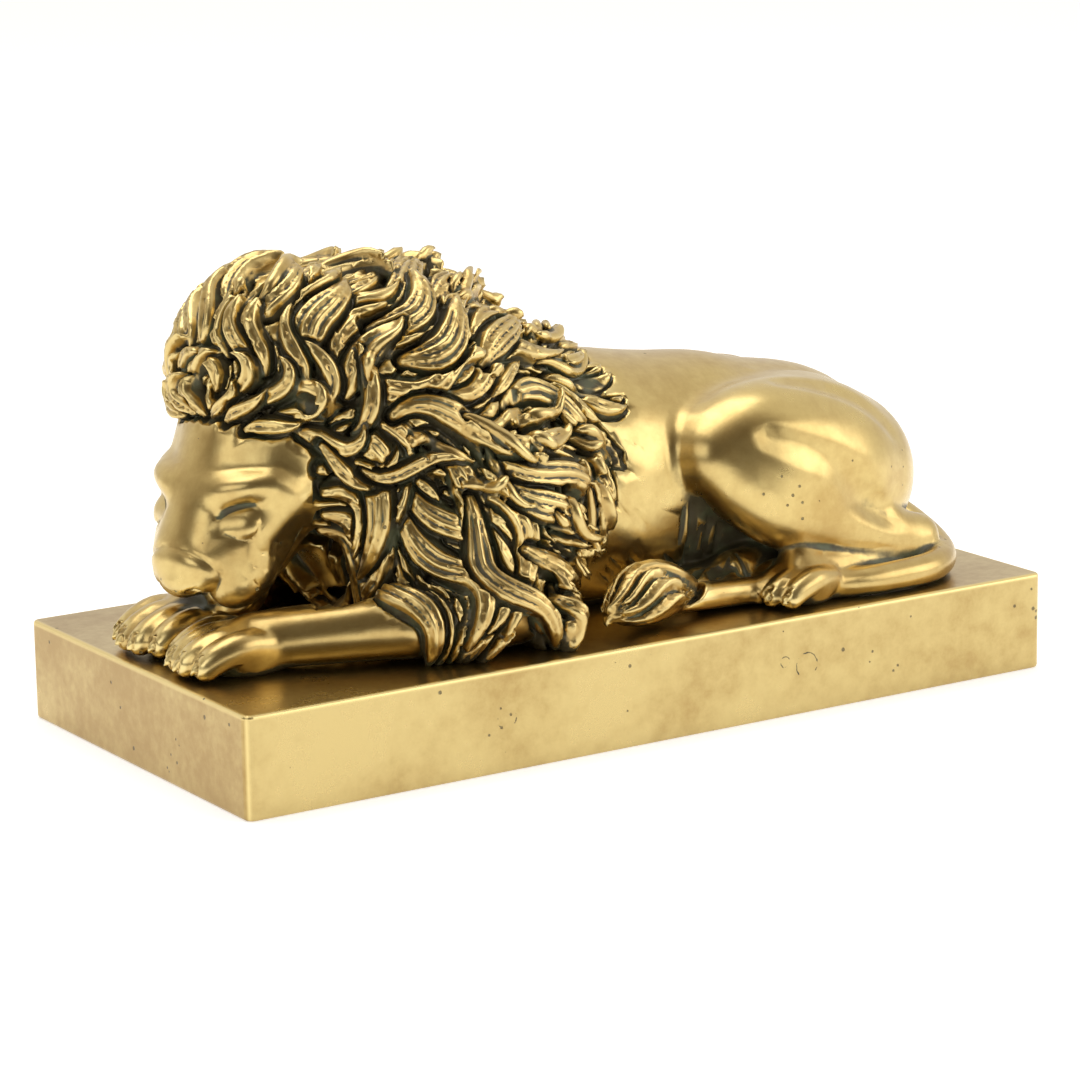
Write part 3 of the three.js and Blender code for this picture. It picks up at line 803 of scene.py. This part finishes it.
for s in (1, -1):
    chase_hair((0, 17, 5), (6, 17, 24), s, 40, 2.6, 0.5, 0)
    chase_hair((-2, 15.4, 2.4), (13, 15.4, 6), s, 40, 3.4, 0.95, np.array([0.2, 0, -0.5]))
    chase_hair((13, 14.6, 2), (20, 14.6, 15), s, 34, 3.8, 1.1, np.array([-0.9, 0, -1.6]))
    # The groin and the low belly are marked as hair as well, which paints shade there with the patina and the
    # browner gilding
    for centre, radii in ((at(16.5, s * 13.8, 7), [5.4, 5, 8.4]), (at(4, s * 15.4, 3), [11, 4, 3.2])):
        cut, shape = egg(centre, np.array(radii) * share)
        hair_and_shade[cut] = np.maximum(hair_and_shade[cut], np.clip(-shape / 6, 0, 0.8))

# Tuft: the tail's end lies on the plinth in a bunch of waving locks
tuft_root = at(11.4, -18, 2.6)
tuft_tip = at(-3.4, -21.6, 2.2)
tuft_middle = (tuft_root + tuft_tip) / 2 + np.array([0, 0, 2.6])
tuft_axes = frame_along(tuft_tip - tuft_root)
cut, shape = egg(tuft_middle, [16.5, 6.6, 7.2], tuft_axes)
press(cut, shape, 1.5)
hide = clay.copy()
for angle in np.radians([-105, 105, -72, 72, -38, 38, -8, 16]):
    t = np.linspace(0, 1, lock_parts + 1)
    bend = angle + 0.35 * np.sin(2 * np.pi * t * 1.2 + angle)
    swell = np.sin(np.pi * (0.04 + 0.9 * t))
    line = tuft_root + t[:, None] * (tuft_tip - tuft_root) + np.array([0, 0, 1.5])
    swing = np.stack([0 * t, 7 * swell * np.sin(bend), 2.4 * swell + 7.6 * swell * np.cos(bend)])
    line = line + (tuft_axes @ swing).T
    tops = unit(line - (tuft_root + t[:, None] * (tuft_tip - tuft_root)))
    lay_lock(line, tops, lock_width * 3.1, lock_height * 2.0, 2, moat=0.8, depth=2.2, relief=1.1)

# The casting is taken from the clay, and nothing on it stands higher than its pattern
lion_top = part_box("lion")[1].z
ceiling = clay_low[2] + cell * np.arange(clay_cells[2]) - (lion_top - plinth_top) * 1000 + 0.05
clay = np.maximum(clay, ceiling.astype(np.float32)[None, None, :])

field = openvdb.FloatGrid()
field.copyFromArray(clay)
points, triangles, quads = field.convertToPolygons(isovalue=0.0, adaptivity=0.0)
places = (points * cell + clay_low) * 0.001
places[:, 2] += plinth_top
places[:, 2] = np.maximum(places[:, 2], plinth_top)
body = bpy.data.meshes.new("lion_casting")
faces = np.vstack([quads[:, [0, 2, 1]], quads[:, [0, 3, 2]], triangles[:, ::-1].reshape(-1, 3)])
body.vertices.add(len(places))
body.vertices.foreach_set("co", places.astype(np.float32).ravel())
body.loops.add(faces.size)
body.loops.foreach_set("vertex_index", faces.ravel().astype(np.int32))
body.polygons.add(len(faces))
body.polygons.foreach_set("loop_start", np.arange(0, faces.size, 3, dtype=np.int32))
body.update(calc_edges=True)
body.validate()
lion = bpy.data.objects.new("lion_casting", body)
bpy.context.collection.objects.link(lion)
most_triangles = 190000
apply_modifier(lion, "DECIMATE", ratio=min(1.0, most_triangles / len(lion.data.polygons)))

# Crumbs that the carving has cut loose are swept off, and all that hangs together with the rump is kept
rump = max(lion.data.vertices, key=lambda corner: corner.co.x).index
bpy.ops.object.mode_set(mode="EDIT")
bpy.ops.mesh.select_all(action="DESELECT")
bpy.ops.object.mode_set(mode="OBJECT")
lion.data.vertices[rump].select = True
bpy.ops.object.mode_set(mode="EDIT")
bpy.ops.mesh.select_linked()
bpy.ops.mesh.select_all(action="INVERT")
bpy.ops.mesh.delete(type="VERT")
bpy.ops.object.mode_set(mode="OBJECT")
lion.data.polygons.foreach_set("use_smooth", [True] * len(lion.data.polygons))

# Patina stays in the fine hollows, and the gilding is rubbed on the high places, where a highlight is painted
# too. The broad value paints shade into the deep hollows and at the foot of the casting, and the hair value
# also paints shade into the groin and under the belly: three values in the mesh say where
corners = np.empty(len(lion.data.vertices) * 3, np.float32)
lion.data.vertices.foreach_get("co", corners)
corners = corners.reshape(-1, 3).astype(float) * 1000
corners[:, 2] -= plinth_top * 1000
# Everything below the plinth's top counts as solid, so the blurred values also paint shade where the lion
# meets the plinth
solid = np.clip(clay, -4, 4)
solid[:, :, :int(-clay_low[2] / cell)] = -4
for name, reach in (("fine_hollow", 2), ("broad_hollow_shade", 7)):
    hide = blurred(solid, reach)
    hollow = lion.data.attributes.new(name, "FLOAT", "POINT")
    hollow.data.foreach_set("value", (-depth_at(corners) / (reach * cell)).astype(np.float32))
hide = blurred(hair_and_shade, 1)
combed = lion.data.attributes.new("hair_and_shade", "FLOAT", "POINT")
combed.data.foreach_set("value", np.clip(depth_at(corners), 0, 1).astype(np.float32))
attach(lion, "root")
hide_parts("lion")


def figure_patina_and_shade(tree):
    """1 where patina stays between the locks, and where shade is painted: in the deep folds, in the groin,
    under the belly and at the plinth's top.
    """
    fine = node(tree, "Attribute", attribute_name="fine_hollow").outputs["Fac"]
    broad = node(tree, "Attribute", attribute_name="broad_hollow_shade").outputs["Fac"]
    hair_and_shade_here = node(tree, "Attribute", attribute_name="hair_and_shade").outputs["Fac"]
    both = reckon(tree, "ADD", fine, reckon(tree, "MULTIPLY", broad, 1.3))
    return graded(tree, reckon(tree, "ADD", both, reckon(tree, "MULTIPLY", hair_and_shade_here, 0.40)), 0.04, 0.50)


def figure_rubbed_and_highlight(tree):
    """1 on the crests that hands and cloths have rubbed, where a highlight is painted too."""
    fine = node(tree, "Attribute", attribute_name="fine_hollow").outputs["Fac"]
    hair_and_shade_here = node(tree, "Attribute", attribute_name="hair_and_shade").outputs["Fac"]
    rubbing_and_highlight = reckon(tree, "SUBTRACT", 1, reckon(tree, "MULTIPLY", hair_and_shade_here, 0.45))
    return reckon(tree, "MULTIPLY", graded(tree, fine, -0.08, -0.30), rubbing_and_highlight)


def figure_tarnish_and_low_shade(tree):
    """Browner low down near the plinth, which is painted shade, and in the hair."""
    place = feed(tree, node(tree, "SeparateXYZ"), Vector=node(tree, "TexCoord").outputs["Object"])
    low = graded(tree, place.outputs["Z"], plinth_top + 0.045, plinth_top + 0.004, 0.5, 1.0)
    hair_and_shade_here = node(tree, "Attribute", attribute_name="hair_and_shade").outputs["Fac"]
    return reckon(tree, "ADD", low, reckon(tree, "MULTIPLY", hair_and_shade_here, 0.7))


lion.data.materials.append(gilt_bronze(
    "gilt_figure", hollow=figure_patina_and_shade, rubbed_and_highlight=figure_rubbed_and_highlight, tarnish_and_painted_dark=figure_tarnish_and_low_shade, pitting=0.8,
    gilding=(0.71, 0.55, 0.22, 1), worn_and_painted_dark=(0.50, 0.34, 0.115, 1), rubbed_and_highlight_gilding=(0.82, 0.655, 0.285, 1)))

# Studio: a pale table that glows a little, a pale surround that is dim behind the camera, and two soft boxes
floor_half = 9.0
bpy.ops.mesh.primitive_plane_add(size=2 * floor_half, location=(0, 0, 0))
floor = bpy.context.active_object
floor.name = "studio_floor"
floor.select_set(False)
paper = bpy.data.materials.new("studio_paper")
paper.use_nodes = True
feed(paper.node_tree, paper.node_tree.nodes["Principled BSDF"], Base_Color=(0.86, 0.86, 0.85, 1),
     Roughness=0.95, Emission_Color=(1, 1, 1, 1), Emission_Strength=0.5)
floor.data.materials.append(paper)

world = bpy.data.worlds.new("studio")
bpy.context.scene.world = world
world.use_nodes = True
tree = world.node_tree
toward = node(tree, "VectorMath", operation="DOT_PRODUCT")
feed(tree, toward, Vector=node(tree, "TexCoord").outputs["Generated"])
toward.inputs[1].default_value = (-0.70, -0.70, 0.12)
dim = graded(tree, toward.outputs["Value"], -0.1, 0.7, 0.85, 0.11)
surround = blended(tree, dim, (1.0, 0.78, 0.52, 1), (1, 0.985, 0.96, 1))
feed(tree, tree.nodes["Background"], Color=surround, Strength=dim)


def soft_box(name, place, aim, size, power):
    bpy.ops.object.light_add(type="AREA", location=place)
    lamp = bpy.context.active_object
    lamp.name = name
    lamp.data.shape = "RECTANGLE"
    lamp.data.size, lamp.data.size_y = size
    lamp.data.energy = power
    lamp.rotation_euler = (Vector(aim) - Vector(place)).to_track_quat("-Z", "Y").to_euler()
    lamp.select_set(False)


soft_box("right_box", (1.0, -1.1, 0.62), (0, 0, 0.05), (1.5, 0.9), 6.6)
soft_box("left_box", (-1.25, -0.45, 0.75), (0, 0, 0.05), (0.9, 0.8), 3.2)
soft_box("top_box", (-0.15, 0.25, 1.4), (0, 0, 0.0), (1.3, 0.9), 7.5)

# Camera, at the photograph's angle
camera_place = Vector((-0.5818, -0.9058, 0.2955))
azimuth, elevation, roll = -0.570110, 0.229382, -0.0158511
back = Vector((
    math.sin(azimuth) * math.cos(elevation),
    -math.cos(azimuth) * math.cos(elevation),
    math.sin(elevation),
))
right = Vector((math.cos(azimuth), math.sin(azimuth), 0))
top = back.cross(right)
rolled_right = right * math.cos(roll) + top * math.sin(roll)
rolled_top = back.cross(rolled_right)
camera_data = bpy.data.cameras.new("camera")
camera = bpy.data.objects.new("camera", camera_data)
bpy.context.collection.objects.link(camera)
camera.matrix_world = Matrix((
    (rolled_right.x, rolled_top.x, back.x, camera_place.x),
    (rolled_right.y, rolled_top.y, back.y, camera_place.y),
    (rolled_right.z, rolled_top.z, back.z, camera_place.z),
    (0, 0, 0, 1),
))
camera_data.sensor_width = 36
camera_data.lens = 130.87
bpy.context.scene.camera = camera
bpy.context.scene.view_settings.view_transform = "Standard"
